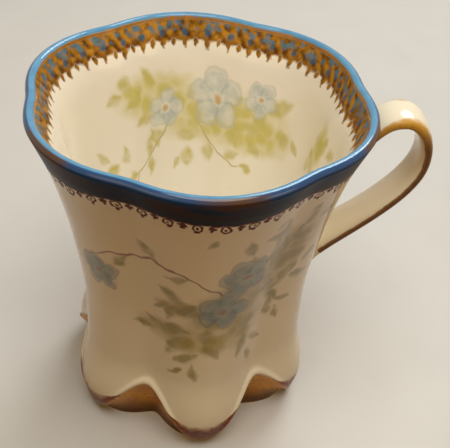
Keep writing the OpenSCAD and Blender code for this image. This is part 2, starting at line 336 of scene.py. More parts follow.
def spun_mesh(name, grid, whole_turn=True, section_loop=False, finish_of_row=None):
    """A mesh from columns of (point, v). An upright line of vertices is spun round Z, so that a vertex's
    angle tells its column and its height its row, and each vertex is then moved to its own point."""
    rows = len(grid[0])
    spins = len(grid) if whole_turn else len(grid) - 1
    turn = TURN if whole_turn else math.pi
    bm = bmesh.new()
    line = [bm.verts.new((1, 0, row)) for row in range(rows)]
    rungs = [bm.edges.new(pair) for pair in zip(line, line[1:])]
    if section_loop:
        rungs.append(bm.edges.new((line[-1], line[0])))
    bmesh.ops.spin(bm, geom=line + rungs, cent=(0, 0, 0), axis=(0, 0, 1), angle=turn, steps=spins,
                   use_merge=whole_turn)
    cells = {}
    for vert in bm.verts:
        angle = math.atan2(vert.co.y, vert.co.x)
        share = angle % TURN / turn if whole_turn else abs(angle) / turn
        cells[vert] = (round(share * spins) % len(grid), round(vert.co.z))
    surface = bm.loops.layers.uv.new("surface")
    for face in bm.faces:
        lows = [cells[loop.vert][0] for loop in face.loops]
        at_seam = whole_turn and max(lows) - min(lows) > 1
        for loop in face.loops:
            column, row = cells[loop.vert]
            around = column + len(grid) if at_seam and column == 0 else column
            loop[surface].uv = (around / spins, grid[column][row][1])
        if finish_of_row:
            face.material_index = finish_of_row[min(cells[loop.vert][1] for loop in face.loops)]
    for vert, (column, row) in cells.items():
        vert.co = grid[column][row][0] * MM
    bmesh.ops.remove_doubles(bm, verts=bm.verts, dist=weld)
    bmesh.ops.holes_fill(bm, edges=[e for e in bm.edges if e.is_boundary])
    bmesh.ops.recalc_face_normals(bm, faces=bm.faces)
    mesh = bpy.data.meshes.new(name)
    bm.to_mesh(mesh)
    bm.free()
    return mesh


def joined(mesh, *others):
    """One mesh that holds them all."""
    bm = bmesh.new()
    for part in (mesh, *others):
        bm.from_mesh(part)
    bm.to_mesh(mesh)
    bm.free()
    return mesh


def round_cup(name, path_of, around=angles, **options):
    """A mesh round the cup, from the path of points (radius, height, v) up each column."""
    grid = [[(turned(a, r, z), v) for r, z, v in path_of(a)] for a in around]
    return spun_mesh(name, grid, **options)


def placed(name, data):
    """A new object in the scene."""
    made = bpy.data.objects.new(name, data)
    bpy.context.scene.collection.objects.link(made)
    return made


def dress(mesh, node_name, slot_name, *materials):
    """Puts a piece in the place of a CAD node, with its finish."""
    mesh.shade_smooth()
    mesh.set_sharp_from_angle(angle=crease)
    for finish in materials:
        mesh.materials.append(finish)
    piece = placed(mesh.name, mesh)
    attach(piece, "root")
    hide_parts(node_name)


# Strap of the handle: three curves in the plane of the axis, from the upper joint to the lower one, with
# pulls as control arms. quarter bends a curve like an ellipse, oval is the power that rounds the section,
# and flare_share the part of the strap over which an end widens.
leave_angle = math.radians(40)
arrive_angle = math.radians(45)
quarter = 0.5523
start_pull, top_pull, out_pull, end_pull = 3, 3, 8.7, 7.3
oval = 0.8
flare_share = 0.22
footprint = strap_t / 2 / math.cos(leave_angle) + slip_spare
upper_z = band_z - band_gap - footprint - slip_fillet
lower_z = upper_z - handle_span
top_z = upper_z + handle_rise
outer_z = top_z - bend_h
reach = wall(0, outer_z) + handle_stand
lean_up = Vector((math.cos(leave_angle), math.sin(leave_angle)))
lean_down = Vector((math.cos(arrive_angle), math.sin(arrive_angle)))
strap_start = Vector((wall(0, upper_z), upper_z)) + slip_t * lean_up
strap_end = Vector((wall(0, lower_z), lower_z)) + slip_t * lean_down
strap_top = Vector((reach - bend_w, top_z))
strap_out = Vector((reach, outer_z))
strap_curves = [
    [strap_start, strap_start + start_pull * lean_up, strap_top - Vector((top_pull, 0)), strap_top],
    [strap_top, strap_top + Vector((quarter * bend_w, 0)), strap_out + Vector((0, quarter * bend_h)),
     strap_out],
    [strap_out, strap_out - Vector((0, out_pull)), strap_end + end_pull * lean_down, strap_end]]
strap_steps = [24, 32, 52]
section_points = 48


def strap_stations():
    """(point, heading, share) along the strap, with the share counted over the three curves."""
    stations = [(strap_start, lean_up, 0)]
    for number, (controls, count) in enumerate(zip(strap_curves, strap_steps)):
        for t in steps(0, 1, count):
            rates = [q - p for p, q in zip(controls, controls[1:])]
            stations.append((bezier(controls, t), bezier(rates, t).normalized(),
                             (number + t) / len(strap_curves)))
    return stations


def even_power(v, e):
    """Power that keeps a value's sign."""
    return math.copysign(abs(v) ** e, v)


def half_width(share):
    end = min(1, min(share, 1 - share) / flare_share)
    return (strap_w + strap_flare * (1 - end) ** 2) / 2


def strap_point(station, turn, extra=0):
    """Point on the flat oval section of the strap; turn is 0 and half a turn on its edges."""
    (x, z), heading, share = station
    c, s = math.cos(turn), math.sin(turn)
    across = half_width(share) * even_power(c, oval) + extra * c
    out = strap_t / 2 * even_power(s, oval) + extra * s
    return Vector((x - out * heading.y, across, z + out * heading.x))


stations = strap_stations()
section_turns = [TURN * i / section_points for i in range(section_points)]


def make_strap():
    run = lengths([tuple(s[0]) for s in stations])
    grid = [[(strap_point(s, turn), along) for s, along in zip(stations, run)] for turn in section_turns]
    return spun_mesh("handle_strap", grid)


# Slip: where its curve leaves the wall and nears the strap, as shares, and how deep its edge is sunk
slip_toe = 0.15
slip_neck = 0.55
slip_sunk = 0.3


def make_slip(name, z, station, away, way):
    """Fillet of slip between the wall and an end of the strap. way is -1 where it runs back to the wall."""
    def on_wall(turn, fillet, lift):
        across = (half_width(station[2]) + fillet) * even_power(math.cos(turn), oval)
        up = z + way * (footprint + fillet) * even_power(math.sin(turn), oval)
        a = math.asin(across / wall(0, up))
        return turned(a, wall(a, up) + lift, up)

    grid = []
    for turn in section_turns:
        strap = strap_point(station, turn)
        neck = strap - slip_neck * slip_t * Vector((away.x, 0, away.y))
        controls = [on_wall(turn, slip_fillet, 0), on_wall(turn, slip_toe * slip_fillet, 0), neck, strap]
        curve = [bezier(controls, t) for t in [0, *steps(0, 1, slip_rows)]]
        column = [on_wall(turn, slip_fillet, -slip_sunk), *curve]
        grid.append([(point, row) for row, point in enumerate(column)])
    return spun_mesh(name, grid)


# Gold on the strap: how far it turns over the outer and inner faces, its smear at the bend, where the bend
# lies and how far it goes, as shares of the strap, points on each side of an edge, and the part that thins
gold_turn = TURN / 9
gold_inner_turn = TURN / 14
gold_smear = TURN / 16
bend_share, bend_reach = 0.42, 0.24
gold_points = 8
gold_fade = 1 / 3


def make_strap_gold(name, edge, outward):
    """Gold brushed along one edge of the strap, further over its outer face round the bend. edge is the
    turn of the section at that edge, and outward the way to turn to the outer face."""
    across = [i / gold_points - 1 for i in range(2 * gold_points + 1)]
    lift = [(layer_t + sunk) * min(1, (1 - abs(x)) / gold_fade) - sunk for x in across]
    grid = []
    for station in stations:
        round_bend = max(0, 1 - abs(station[2] - bend_share) / bend_reach)
        spread = gold_turn + gold_smear * round_bend * (2 - round_bend)
        turns = [edge + x * (spread if x * outward > 0 else gold_inner_turn) for x in across]
        top = [(strap_point(station, turn, high), 1 - abs(x)) for turn, high, x in zip(turns, lift, across)]
        under = [(strap_point(station, turn, -sunk), 1 - abs(x)) for turn, x in zip(turns, across)]
        grid.append(top + under[::-1])
    return spun_mesh(name, grid, whole_turn=False, section_loop=True)


# Columns of the outer border, which leaves a bare strip on each side of the handle
border_bare = math.asin((half_width(0) + slip_fillet + border_gap) / wall(0, border_z))
border_end = TURN - border_bare
border_angles = [border_bare, *sorted(a % TURN for a in angles if border_bare < a % TURN < border_end),
                 border_end]


# Finishes
def linear(hex_code):
    """Linear RGBA from an sRGB hex value."""
    parts = [int(hex_code[i:i + 2], 16) / 255 for i in (1, 3, 5)]
    return (*[p / 12.92 if p <= 0.04045 else ((p + 0.055) / 1.055) ** 2.4 for p in parts], 1)


def node(tree, kind, *values, sockets=None, **settings):
    """Adds a node with its settings and fills its inputs in order or by name. A text is a hex colour."""
    made = tree.nodes.new("ShaderNode" + kind)
    for name, value in settings.items():
        setattr(made, name, value)
    shown = [s for s in made.inputs if s.enabled]
    wanted = dict(enumerate(values)) | (sockets or {})
    for key, value in wanted.items():
        socket = shown[key] if isinstance(key, int) else next(s for s in shown if s.name == key)
        if isinstance(value, bpy.types.NodeSocket):
            tree.links.new(value, socket)
        else:
            socket.default_value = linear(value) if isinstance(value, str) else value
    return next((s for s in made.outputs if s.enabled), None)


def material(name):
    """A new material, its empty node tree, and the place on a piece in millimetres."""
    made = bpy.data.materials.new(name)
    made.use_nodes = True
    tree = made.node_tree
    tree.nodes.clear()
    metres = node(tree, "TexCoord").node.outputs["Object"]
    return made, tree, node(tree, "VectorMath", metres, sockets={"Scale": 1 / MM}, operation="SCALE")


def finish_with(tree, **sockets):
    """Ends a tree in a Principled shader."""
    named = {name.replace("_", " "): value for name, value in sockets.items()}
    shader = node(tree, "BsdfPrincipled", sockets=named)
    node(tree, "OutputMaterial", shader)


def on_surface(tree):
    """The piece's own map, whose X runs round the cup or along the strap."""
    return node(tree, "SeparateXYZ", node(tree, "UVMap", uv_map="surface")).node.outputs


def extreme(tree, operation, values):
    """Smallest or largest of several values, compared as each is made, so that few wait at once."""
    values = iter(values)
    found = next(values)
    for other in values:
        found = node(tree, "Math", found, other, operation=operation)
    return found


def away_from(tree, value, middle):
    """How far a value lies from a middle one, to either side."""
    return node(tree, "Math", node(tree, "Math", value, middle, operation="SUBTRACT"), operation="ABSOLUTE")


def inside(tree, distance, full, none, strength=1):
    """Strength at the full distance and beyond it, fading smoothly to 0 at none."""
    return node(tree, "MapRange", distance, full, none, strength, 0, interpolation_type="SMOOTHSTEP")


def overpainted(tree, colour, strokes):
    """A colour under strokes of paint, each of which has its strength and its own colour."""
    for strength, paint in strokes:
        colour = node(tree, "Mix", strength, sockets={"A": colour, "B": paint}, data_type="RGBA")
    return colour


# Glazed hard-paste porcelain: a smooth clear glaze over a warm white body, clouded between a light and a
# darker tone. Outside it is creamier than inside, as painted shade: a warm tint for the warm shade there.
shade_warmed_ivory = "#f7eed6", "#f1e6c8"
ivory_inside = "#fbf6ea", "#f7f0de"


def porcelain_tone(tree, place, tones=shade_warmed_ivory):
    cloudy = node(tree, "TexNoise", place, sockets={"Scale": 1 / 14, "Detail": 2.0})
    return node(tree, "Mix", cloudy, sockets={"A": tones[1], "B": tones[0]}, data_type="RGBA")


def glaze_ripple(tree, place):
    """Slow unevenness of the glaze, about 6 mm across."""
    ripple = node(tree, "TexNoise", place, sockets={"Scale": 1 / 6, "Detail": 1.0})
    return node(tree, "Bump", sockets={"Height": ripple, "Strength": 0.06, "Distance": 0.4 * MM})


def plain_porcelain():
    made, tree, place = material("glazed_porcelain")
    finish_with(tree, Base_Color=porcelain_tone(tree, place), Roughness=0.1, IOR=1.5,
                Normal=glaze_ripple(tree, place))
    return made


# Unglazed porcelain of the ground foot rim: matt, gritty and a little soiled
def ground_biscuit():
    made, tree, place = material("ground_biscuit")
    grit = node(tree, "TexNoise", place, sockets={"Scale": 1 / 0.6, "Detail": 3.0})
    tone = node(tree, "Mix", grit, sockets={"A": "#cfc2a6", "B": "#e6dcc6"}, data_type="RGBA")
    finish_with(tree, Base_Color=tone, Roughness=0.75,
                Normal=node(tree, "Bump", sockets={"Height": grit, "Strength": 0.3, "Distance": 0.1 * MM}))
    return made


# Drawing of the sprays: the radius at which the wall is laid flat, a blossom's petals, their roundness and
# the folds between them, how leaves stand out, their length in mid sprig and its loss towards the ends, how
# sharply a stem stops, and the drift of the brush in millimetres
mean_r = 29
petals = 5
petal_round = 0.6
fold_depth = 0.34
splay = math.radians(42)
leaf_middle = 1.1
leaf_loss = 0.4
stem_stop = 9
brush_drift = 2.2

# Flower sprays, laid flat in degrees round the cup and millimetres of height. A wash or mist has a place, a
# length, a width and a tilt, a sprig the places of its root and tip, a bow, a count of leaves and their
# length, and a blossom a place, a radius and a tilt. stems counts the sprigs whose stems show, and slim is
# a leaf's width in lengths.
outside_spray = {
    "washes": [(-72, 44, 24, 15, 40), (-54, 50, 34, 14, 52), (-90, 34, 28, 9, -6), (-64, 36, 16, 11, 70),
               (-94, 43, 14, 6, 0), (100, 46, 28, 14, 20)],
    "mists": [(-70, 50, 17, 12, 55), (-78, 42, 17, 9, 0), (-131, 47, 10, 9, 0), (101, 49, 14, 12, 10)],
    "sprigs": [
        (-78, 48, -131, 52, -5, 4, 6.5), (104, 49, 132, 41, 3, 4, 7), (-70, 49, -38, 61, 2, 6, 8),
        (-66, 45, -36, 47, -3, 5, 8), (-79, 42, -108, 34, 3, 5, 8), (-74, 38, -58, 27, 2, 4, 7.5),
        (-68, 55, -60, 63, 1, 3, 6), (-84, 36, -92, 25, 2, 4, 7), (-88, 58, -86, 62, 0.5, 1, 6),
        (-62, 48, -46, 57, -2, 4, 7), (-60, 42, -44, 36, 2, 4, 7), (-82, 45, -100, 43, -1, 4, 7),
        (98, 50, 78, 42, -3, 4, 7), (102, 53, 116, 60, 1, 3, 6), (99, 44, 96, 34, 1, 3, 6.5)],
    "stems": 2,
    "slim": 0.46,
    "blossoms": [(-131, 47, 4.6, 20), (-76, 43, 5.6, 0), (-68, 52, 5.6, 40), (101, 49, 5.6, 10)],
    "inks": {"wash": "#ac9824", "leaf": ("#7c6e08", "#b0a02c"), "stem": "#8e4008", "line": "#625a5c",
             "petal": ("#637680", "#aeb8b2"), "heart": "#a0663c"}}
inside_spray = {
    "washes": [(106, 58, 34, 14, 15), (78, 55, 40, 16, -4), (60, 53, 24, 13, 0), (124, 61, 14, 6, 10),
               (12, 60, 7, 13, 0)],
    "mists": [(82, 60, 13, 11, 0), (59, 61, 9, 8, 0), (108, 56, 9, 9, 0)],
    "sprigs": [
        (104, 56, 128, 43, -2, 3, 6), (128, 43, 130, 33, 0.5, 1, 5), (92, 53, 66, 44, 2, 3, 6.5),
        (126, 44, 150, 47, 1, 4, 6), (86, 50, 100, 44, 1, 3, 6.5), (108, 61, 132, 62, 1, 4, 6.5),
        (72, 57, 40, 55, -2, 4, 7.5), (96, 57, 62, 51, -3, 5, 8), (110, 57, 118, 50, 1, 3, 7),
        (30, 60, 4, 61, 2, 3, 7), (16, 60, 12, 53, 0.5, 3, 7)],
    "stems": 3,
    "slim": 0.6,
    "blossoms": [(82, 59, 7.0, 12), (59, 61, 4.2, 50), (108, 56, 4.6, 30)],
    "inks": {"wash": "#d6cb74", "leaf": ("#c3b54e", "#dcd288"), "stem": "#cfc08a", "line": "#bcc2ba",
             "petal": ("#b7c4c2", "#f7f3e8"), "heart": "#d2a648"}}


def on_paper(degrees, height):
    return Vector(((math.radians(degrees) - first_angle) % TURN * mean_r, height, 0))


def sprig_strokes(slim, from_degrees, from_height, to_degrees, to_height, bow, count, length):
    """Stem of a sprig, and its leaves, which stand out to either side by turns, the last straight on."""
    root, tip = on_paper(from_degrees, from_height), on_paper(to_degrees, to_height)
    chord = tip - root
    half, tilt = chord.length / 2, math.atan2(chord.y, chord.x)
    aside = Vector((-chord.y, chord.x, 0)).normalized()
    leaves = []
    for number in range(1, count + 1):
        share = number / count
        x = 2 * share - 1
        heading = tilt - math.atan(2 * bow * x / half)
        if number < count:
            heading += splay if number % 2 else -splay
        reach = length * (leaf_middle - leaf_loss * abs(x))
        joint = root + share * chord + bow * (1 - x * x) * aside
        leaves.append((joint + reach / 2 * Vector((math.cos(heading), math.sin(heading), 0)), reach,
                       reach * slim, heading))
    return ((root + tip) / 2 + bow * aside, half, bow, tilt), leaves


def motif_axes(tree, paper, middle, tilt, half_length, half_width):
    """Place on the paper, along and across a motif, with 1 at the ends of its half sizes."""
    c, s = math.cos(tilt), math.sin(tilt)
    axes = []
    for right, up, half in [(c, s, half_length), (-s, c, half_width)]:
        start = -(right * middle.x + up * middle.y) / half
        risen = node(tree, "Math", paper["Y"], up / half, start, operation="MULTIPLY_ADD")
        axes.append(node(tree, "Math", paper["X"], right / half, risen, operation="MULTIPLY_ADD"))
    return axes


def leaf_distance(tree, paper, middle, length, width, tilt):
    """0 on the midrib of a pointed leaf, 1 on its outline."""
    along, across = motif_axes(tree, paper, middle, tilt, length / 2, width / 2)
    return node(tree, "Math", along, along, node(tree, "Math", across, operation="ABSOLUTE"),
                operation="MULTIPLY_ADD")


def wash_distance(tree, paper, degrees, height, length, width, tilt):
    """0 in the middle of an oval patch, 1 on its outline."""
    middle = on_paper(degrees, height)
    along, across = motif_axes(tree, paper, middle, math.radians(tilt), length / 2, width / 2)
    return node(tree, "Math", along, along, node(tree, "Math", across, across, operation="MULTIPLY"),
                operation="MULTIPLY_ADD")


def stem_distance(tree, paper, middle, half, bow, tilt):
    """Millimetres from a stem that bows between its ends."""
    along, across = motif_axes(tree, paper, middle, tilt, half, 1)
    square = node(tree, "Math", along, along, operation="MULTIPLY")
    off = node(tree, "Math", square, bow, across, operation="MULTIPLY_ADD")
    past_end = node(tree, "Math", square, stem_stop, -stem_stop, operation="MULTIPLY_ADD")
    return node(tree, "Math", node(tree, "Math", off, operation="ABSOLUTE"), past_end, operation="MAXIMUM")


def blossom_distances(tree, paper, degrees, height, radius, tilt):
    """Distance from the middle of a blossom, in its radii and as a share of its petals' reach, and from the
    folds between them."""
    along, across = motif_axes(tree, paper, on_paper(degrees, height), math.radians(tilt), radius, radius)
    around = node(tree, "Math", across, along, operation="ARCTAN2")
    phase = node(tree, "Math", around, petals / 2, operation="MULTIPLY")
    from_fold = node(tree, "Math", node(tree, "Math", phase, operation="COSINE"), operation="ABSOLUTE")
    petal = node(tree, "Math", from_fold, petal_round, operation="POWER")
    reach = node(tree, "Math", petal, fold_depth, 1 - fold_depth, operation="MULTIPLY_ADD")
    square = node(tree, "Math", along, along, node(tree, "Math", across, across, operation="MULTIPLY"),
                  operation="MULTIPLY_ADD")
    out = node(tree, "Math", square, operation="SQRT")
    share = node(tree, "Math", out, reach, operation="DIVIDE")
    far = node(tree, "Math", share, 1, operation="GREATER_THAN")
    return out, share, node(tree, "Math", from_fold, far, operation="ADD")


# Painted porcelain: thin washes of colour under the glaze, soft at the edges and paler where the brush ran
# dry, with an outline round the petals
def painted_porcelain(name, spray, tones):
    made, tree, place = material(name)
    inks = spray["inks"]
    flat = node(tree, "VectorMath", node(tree, "UVMap", uv_map="surface"), (TURN * mean_r, 1, 0),
                operation="MULTIPLY")
    unsteady = node(tree, "TexNoise", flat, sockets={"Scale": 1 / 4, "Detail": 1.0}, noise_dimensions="2D")
    drift = node(tree, "VectorMath", unsteady.node.outputs["Color"], (0.5, 0.5, 0.5), operation="SUBTRACT")
    drawn = node(tree, "VectorMath", drift, (brush_drift, brush_drift, 0), flat, operation="MULTIPLY_ADD")
    paper = node(tree, "SeparateXYZ", drawn).node.outputs
    dry = node(tree, "TexNoise", place, sockets={"Scale": 1 / 2.6, "Detail": 2.0})
    load = node(tree, "MapRange", dry, 0.3, 0.65, 0.42, 1)
    tufts = node(tree, "TexVoronoi", drawn, sockets={"Scale": 1 / 3.6}, voronoi_dimensions="2D")
    haze = node(tree, "MapRange", tufts, 0.15, 0.85, 1, 0.5, interpolation_type="SMOOTHSTEP")
    sprigs = [sprig_strokes(spray["slim"], *row) for row in spray["sprigs"]]
    washes, mists = [
        extreme(tree, "MINIMUM", (wash_distance(tree, paper, *row) for row in spray[kind]))
        for kind in ("washes", "mists")]
    leaves = extreme(tree, "MINIMUM", (leaf_distance(tree, paper, *leaf)
                                       for _, group in sprigs for leaf in group))
    stems = extreme(tree, "MINIMUM", (stem_distance(tree, paper, *stem)
                                      for stem, _ in sprigs[:spray["stems"]]))
    blossoms = zip(*[blossom_distances(tree, paper, *row) for row in spray["blossoms"]])
    middle, petal, fold = [extreme(tree, "MINIMUM", distances) for distances in blossoms]
    outline = away_from(tree, petal, 1)
    leaf_dark, leaf_light = inks["leaf"]
    petal_deep, petal_pale = inks["petal"]
    leaf_ink = node(tree, "Mix", dry, sockets={"A": leaf_dark, "B": leaf_light}, data_type="RGBA")
    shaded = node(tree, "Math", inside(tree, fold, 0, 0.5, 0.35), load, operation="ADD")
    petal_ink = node(tree, "Mix", node(tree, "Math", shaded, 0.2, operation="SUBTRACT"),
                     sockets={"A": petal_pale, "B": petal_deep}, data_type="RGBA")
    strokes = [
        (node(tree, "Math", inside(tree, washes, 0.05, 1.2), haze, operation="MULTIPLY"), inks["wash"]),
        (node(tree, "Math", inside(tree, leaves, 0.3, 1.15), load, operation="MULTIPLY"), leaf_ink),
        (inside(tree, stems, 0.06, 0.4, 0.95), inks["stem"]),
        (node(tree, "Math", inside(tree, mists, 0, 1.1, 0.45), load, operation="MULTIPLY"), petal_deep),
        (inside(tree, petal, 0.75, 1.08, 0.85), petal_ink),
        (inside(tree, outline, 0.01, 0.11, 0.4), inks["line"]),
        (inside(tree, middle, 0.16, 0.36, 0.5), petal_pale),
        (inside(tree, middle, 0.06, 0.22, 0.8), inks["heart"])]
    colour = overpainted(tree, porcelain_tone(tree, place, tones), strokes)
    finish_with(tree, Base_Color=colour, Roughness=0.1, IOR=1.5, Normal=glaze_ripple(tree, place))
    return made


# Printed lace: ceramic gold and brown under a thin flux, slightly raised and satin beside the glaze. Its
# pattern repeats in cells round the cup, which are also its measure. The print is a little unsteady, and
# the outer border hangs lower on the crests of the lobes.
lace_repeats = 38
lace_cell = 5.1
lace_wobble = 0.24
lace_hang = 0.13


def lobe_wave(tree, place):
    """1 on the crests of the lobes, -1 in the valleys."""
    spot = node(tree, "SeparateXYZ", place).node.outputs
    around = node(tree, "Math", spot["Y"], spot["X"], operation="ARCTAN2")
    phase = node(tree, "Math", around, lobes, -lobes * lobe_turn, operation="MULTIPLY_ADD")
    return node(tree, "Math", phase, operation="COSINE")


def lace_axes(tree, place, down_scale, down_start):
    """Place from the middle and the side of a cell and down from the upper edge, and the count of cells."""
    axes = on_surface(tree)
    unsteady = node(tree, "TexNoise", place, sockets={"Scale": 1 / 1.5, "Detail": 1.0})
    wobbles = node(tree, "SeparateXYZ", unsteady.node.outputs["Color"]).node.outputs
    cells = node(tree, "Math", axes["X"], lace_repeats, operation="MULTIPLY")
    moved = node(tree, "Math", wobbles["X"], lace_wobble, cells, operation="MULTIPLY_ADD")
    from_middle = away_from(tree, node(tree, "Math", moved, operation="FRACT"), 0.5)
    from_side = node(tree, "Math", 0.5, from_middle, operation="SUBTRACT")
    drop = node(tree, "Math", axes["Y"], down_scale, down_start - lace_wobble / 2, operation="MULTIPLY_ADD")
    down = node(tree, "Math", wobbles["Y"], lace_wobble, drop, operation="MULTIPLY_ADD")
    return from_middle, from_side, down, moved


def drop_distance(tree, across, down, middle, half_width, half_height):
    """1 on the outline of a drop with pointed ends."""
    tall = node(tree, "Math", down, 1 / half_height, -middle / half_height, operation="MULTIPLY_ADD")
    square = node(tree, "Math", tall, tall, operation="MULTIPLY")
    return node(tree, "Math", across, 1 / half_width, square, operation="MULTIPLY_ADD")


def disc_distance(tree, across, down, middle, aside=0):
    """Distance from a point, in cells."""
    low = node(tree, "Math", down, middle, operation="SUBTRACT")
    off = node(tree, "Math", across, aside, operation="SUBTRACT")
    return node(tree, "VectorMath", node(tree, "CombineXYZ", off, low), operation="LENGTH")


def finish_lace(tree, place, printed, ink, tones):
    """Ink where the lace is printed, and bare glaze between."""
    colour = overpainted(tree, porcelain_tone(tree, place, tones), [(printed, ink)])
    finish_with(tree, Base_Color=colour, IOR=1.5,
                Specular_IOR_Level=node(tree, "MapRange", printed, 0, 1, 0.5, 0.06),
                Metallic=node(tree, "Math", printed, 0.2, operation="MULTIPLY"),
                Roughness=node(tree, "Math", printed, 0.28, 0.1, operation="MULTIPLY_ADD"),
                Normal=node(tree, "Bump",
                            sockets={"Height": printed, "Strength": 0.4, "Distance": 0.06 * MM}))


# Inner border: slanted gold scales with blue in the gaps, a row of blue dots, and a fringe of buds, long
# ones under the dots, each with a bead at its tip, and short ones between
def inner_print():
    made, tree, place = material("printed_gold_fringe")
    from_middle, from_side, down, cells = lace_axes(tree, place, 1 / lace_cell, 0)
    speckle = node(tree, "TexNoise", place, sockets={"Scale": 1 / 1.5, "Detail": 2.0})
    patchy = node(tree, "TexNoise", place, sockets={"Scale": 1 / 1.8, "Detail": 1.0})
    garland = node(tree, "Math", from_middle, 0.2, down, operation="MULTIPLY_ADD")
    long_bud = drop_distance(tree, from_middle, down, middle=0.84, half_width=0.15, half_height=0.34)
    short_bud = drop_distance(tree, from_side, down, middle=0.88, half_width=0.13, half_height=0.22)
    bead = disc_distance(tree, from_middle, down, middle=1.14)
    window = inside(tree, disc_distance(tree, from_side, down, middle=0.78), 0.03, 0.12, 0.6)
    ground = node(tree, "Math", inside(tree, garland, 0.82, 0.98), window, operation="SUBTRACT",
                  use_clamp=True)
    printed = extreme(tree, "MAXIMUM", [
        ground, inside(tree, long_bud, 0.6, 1.2), inside(tree, short_bud, 0.6, 1.2),
        inside(tree, bead, 0.03, 0.1, 0.7)])
    slanted = node(tree, "Math", down, 1.4, node(tree, "Math", cells, 2, operation="MULTIPLY"),
                   operation="MULTIPLY_ADD")
    from_gap = away_from(tree, node(tree, "Math", slanted, operation="FRACT"), 0.5)
    tone = node(tree, "Math", from_gap, 0.45, speckle, operation="MULTIPLY_ADD")
    gaps = node(tree, "Math", from_gap, -0.3, patchy, operation="MULTIPLY_ADD")
    high = inside(tree, down, 0.3, 0.62, 0.8)
    seam = away_from(tree, down, 0.76)
    dots = disc_distance(tree, from_middle, down, middle=0.54)
    strokes = [
        (node(tree, "MapRange", tone, 0.4, 0.78), "#bf882c"),
        (node(tree, "Math", node(tree, "MapRange", gaps, 0.4, 0.54), high, operation="MULTIPLY"),
         "#4f849c"),
        (inside(tree, seam, 0.02, 0.14, 0.4), "#6f421a"),
        (node(tree, "MapRange", down, 0.85, 1, 0, 0.6), "#9a6c1c"),
        (inside(tree, dots, 0.07, 0.2, 0.85), "#3b607c")]
    finish_lace(tree, place, printed, overpainted(tree, "#613a0e", strokes), ivory_inside)
    return made


# Outer border: the end of the dark band, then fine red-brown rings with a dot inside and a drop below, and
# a trefoil between each two
def outer_print():
    made, tree, place = material("printed_brown_lace")
    from_middle, from_side, level, _ = lace_axes(tree, place, -1 / lace_cell, outer_border_h / lace_cell)
    down = node(tree, "Math", lobe_wave(tree, place), -lace_hang, level, operation="MULTIPLY_ADD")
    speckle = node(tree, "TexNoise", place, sockets={"Scale": 1 / 0.5, "Detail": 2.0})
    medal = disc_distance(tree, from_middle, down, middle=0.42)
    ring = away_from(tree, medal, 0.18)
    low_leaf = disc_distance(tree, from_side, down, middle=0.47)
    side_leaf = disc_distance(tree, from_side, down, middle=0.35, aside=0.09)
    stalk = node(tree, "Math", from_side, node(tree, "Math", down, 0.4, operation="SUBTRACT"),
                 operation="MAXIMUM")
    trefoil = extreme(tree, "MINIMUM", [low_leaf, side_leaf, stalk])
    drop = drop_distance(tree, from_middle, down, middle=0.66, half_width=0.09, half_height=0.1)
    # The end of the dark band, darkened like the band as painted shade
    dark = inside(tree, down, 0.14, 0.19)
    printed = extreme(tree, "MAXIMUM", [
        inside(tree, ring, 0.025, 0.065), inside(tree, medal, 0.04, 0.1), inside(tree, down, 0.2, 0.28),
        inside(tree, drop, 0.7, 1.2), inside(tree, trefoil, 0.055, 0.1)])
    ink = overpainted(tree, "#3a0f05", [(speckle, "#742c14"), (dark, "#140b09")])
    finish_lace(tree, place, printed, ink, shade_warmed_ivory)
    return made


# Blue enamel: light and glassy where it thins over the top of the lip, and rubbed to brown beside it on the
# crests of the lobes. On the wall it is a deep navy, darkened beyond its own blue as painted shade, and
# dulled by long worn strokes of gold painted dark brown, a painted dark reflection, and browner low on the
# band, and on the lip's inner side it ends in gold. The map gives millimetres from the lip's start.
def rim_blue(name, roughness, shine):
    made, tree, place = material(name)
    up = on_surface(tree)["Y"]
    long_way = node(tree, "Mapping", place, sockets={"Scale": (1 / 8, 1 / 8, 1 / 1.3)}, vector_type="POINT")
    wear_and_dark_reflection = node(tree, "TexNoise", long_way, sockets={"Scale": 1.0, "Detail": 4.0, "Distortion": 0.4})
    cloudy = node(tree, "TexNoise", place, sockets={"Scale": 1 / 2.5, "Detail": 2.0})
    patches = node(tree, "TexNoise", place, sockets={"Scale": 1 / 8, "Detail": 1.0})
    scales = node(tree, "TexNoise", place, sockets={"Scale": 1 / 1.5, "Detail": 2.0})
    crests = node(tree, "Math", patches, 1.2, lobe_wave(tree, place), operation="MULTIPLY_ADD")
    rubbed = inside(tree, crests, 1.5, 0.8)
    inwards = node(tree, "Math", scales, 0.8, up, operation="MULTIPLY_ADD")
    edge = node(tree, "Mix", rubbed, sockets={"A": "#1d4f88", "B": "#64401e"}, data_type="RGBA")
    light = node(tree, "Mix", cloudy, sockets={"A": "#4688b6", "B": "#6cabd2"}, data_type="RGBA")
    gold = node(tree, "Mix", scales, sockets={"A": "#7c4a0e", "B": "#d0922c"}, data_type="RGBA")
    # The navy is darkened as painted shade, and the worn gold strokes are dark brown as a painted dark
    # reflection
    strokes = [
        (cloudy, "#123058"),
        (node(tree, "MapRange", wear_and_dark_reflection, 0.4, 0.56, 0, 0.9), "#3e2009"),
        (node(tree, "MapRange", up, -4.5, -1.5, 0.8, 0), "#26130a"),
        (node(tree, "MapRange", up, -1.6, 0.4, 0, 0.85), edge),
        (inside(tree, up, 1.4, 1.1), light),
        (node(tree, "MapRange", inwards, 2.9, 3.1), gold)]
    finish_with(tree, Base_Color=overpainted(tree, "#071228", strokes), Roughness=roughness,
                Specular_IOR_Level=shine, Normal=glaze_ripple(tree, place))
    return made


# Brushed gilding: burnished liquid gold over glaze, satin, uneven from the brush, rubbed to red-brown
# towards its edges. It is darker and less metallic low and deep in the coves, as painted shade, and
# brighter on the top of the handle, as a painted highlight, at these heights. The map gives 0 along
# the edge of the gold and 1 or more where the brush was full.
shade_full_below, shade_gone_above = 0.5, 8
highlight_full_above, highlight_gone_below = 74, 68


